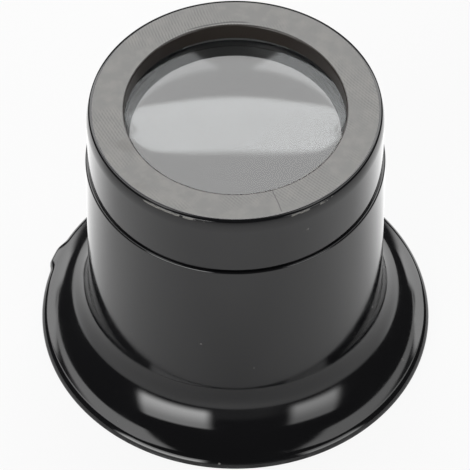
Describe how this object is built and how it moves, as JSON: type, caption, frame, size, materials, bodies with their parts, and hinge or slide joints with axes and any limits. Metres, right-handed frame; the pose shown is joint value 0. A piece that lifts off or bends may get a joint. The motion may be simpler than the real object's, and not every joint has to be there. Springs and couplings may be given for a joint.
{
  "type": "jeweler loupe",
  "caption": "Round black eye loupe: a flared eye cup with a tapered barrel, a screw cap with a wide front lip, and a clear magnifying lens held between them.",
  "frame": {"origin": "on the optical axis, in the plane of the eye rim's resting ring", "axes": "+Z along the optical axis, from the eye rim to the cap's front face; -Y is the side that faces the picture's camera, +X is to its right"},
  "size_m": [0.0378, 0.0378, 0.0303],
  "materials": {
    "cup_plastic": "polished black moulding",
    "lens_glass": "clear, polished faces, ground edge",
    "cap_plastic": "black moulding, satin front face"
  },
  "bodies": {
    "eye_cup": {"eye_cup": "cup_plastic"},
    "lens": {"lens": "lens_glass"},
    "lens_cap": {"lens_cap": "cap_plastic"}
  },
  "joints": [
    {"name": "cap_turn", "type": "hinge", "parent": "eye_cup", "child": "lens", "pos_m": [0, 0, 0.0262], "axis": [0, 0, 1], "range_deg": [0, 1080]},
    {"name": "cap_rise", "type": "slide", "parent": "lens", "child": "lens_cap", "axis": [0, 0, 1], "range_m": [0, 0.0046]}
  ],
  "couplings": [
    {"joint": "cap_rise", "follows": "cap_turn", "m_per_rad": 0.00023873}
  ]
}
